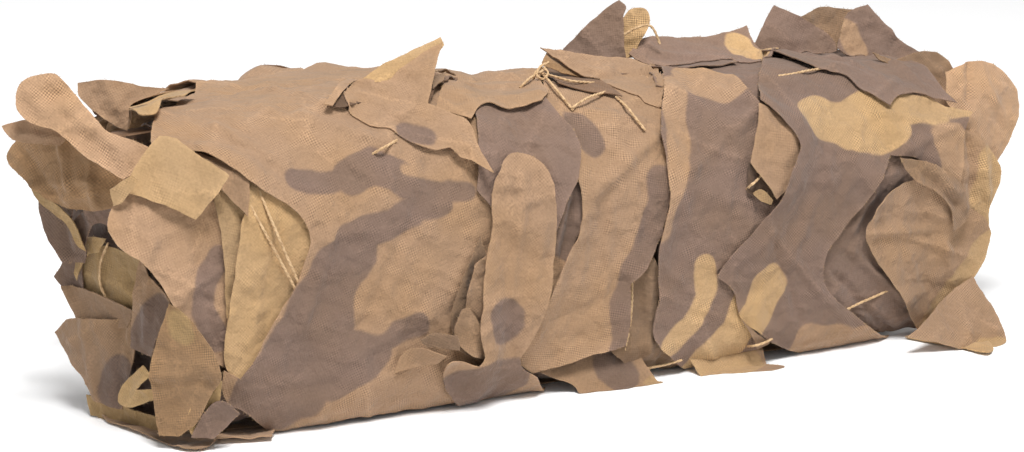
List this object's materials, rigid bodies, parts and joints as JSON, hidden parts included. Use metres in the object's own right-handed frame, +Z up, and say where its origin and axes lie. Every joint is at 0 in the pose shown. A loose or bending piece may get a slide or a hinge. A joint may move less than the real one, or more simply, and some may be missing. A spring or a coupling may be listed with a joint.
{
  "type": "rolled leaf-cut shade net",
  "caption": "Desert-coloured shade net of leaf-cut cloth on carrier cords, wound into a long loose roll that lies flat, with leaves standing out at its ends, top and foot.",
  "frame": {"origin": "on the floor at the middle of the roll's flat underside", "axes": "+X along the roll towards its far end, -Y to its front, +Z up"},
  "size_m": [0.7112, 0.2636, 0.2216],
  "materials": {
    "wound_cloth": "matt printed waffle-weave cloth, mauve-brown and tan",
    "leaf_cloth": "matt printed waffle-weave cloth, tan with mauve-brown and pale sand patches, pale ochre underside",
    "net_cord": "matt twisted cream cord"
  },
  "bodies": {
    "root": {"rolled_net": "wound_cloth", "leaf_front_main": "leaf_cloth", "leaf_front_near": "leaf_cloth", "leaf_front_sand": "leaf_cloth", "leaf_front_heel": "leaf_cloth", "leaf_torn": "leaf_cloth", "leaf_front_round": "leaf_cloth", "leaf_front_spot": "leaf_cloth", "leaf_front_broad": "leaf_cloth", "leaf_front_waffle": "leaf_cloth", "leaf_front_hook": "leaf_cloth", "leaf_front_mauve": "leaf_cloth", "leaf_front_pale": "leaf_cloth", "leaf_front_far": "leaf_cloth", "leaf_top_peak": "leaf_cloth", "leaf_top_ridge": "leaf_cloth", "leaf_top_mauve": "leaf_cloth", "leaf_top_far_a": "leaf_cloth", "leaf_top_far_b": "leaf_cloth", "leaf_near_strap": "leaf_cloth", "leaf_near_curl": "leaf_cloth", "leaf_near_side": "leaf_cloth", "leaf_near_strip": "leaf_cloth", "leaf_near_low": "leaf_cloth", "leaf_far_lobe": "leaf_cloth", "leaf_far_strip": "leaf_cloth", "leaf_far_low": "leaf_cloth", "leaf_back_a": "leaf_cloth", "leaf_back_b": "leaf_cloth", "leaf_back_c": "leaf_cloth", "leaf_back_d": "leaf_cloth", "leaf_back_e": "leaf_cloth", "leaf_back_f": "leaf_cloth", "leaf_back_near": "leaf_cloth", "leaf_back_far": "leaf_cloth", "leaf_floor_near": "leaf_cloth", "leaf_floor_mid": "leaf_cloth", "leaf_floor_tip": "leaf_cloth", "leaf_floor_far": "leaf_cloth", "net_cord_near": "net_cord", "net_cord_gap": "net_cord", "net_cord_far": "net_cord", "net_cord_knot_a": "net_cord", "net_cord_knot_b": "net_cord"}
  },
  "joints": []
}
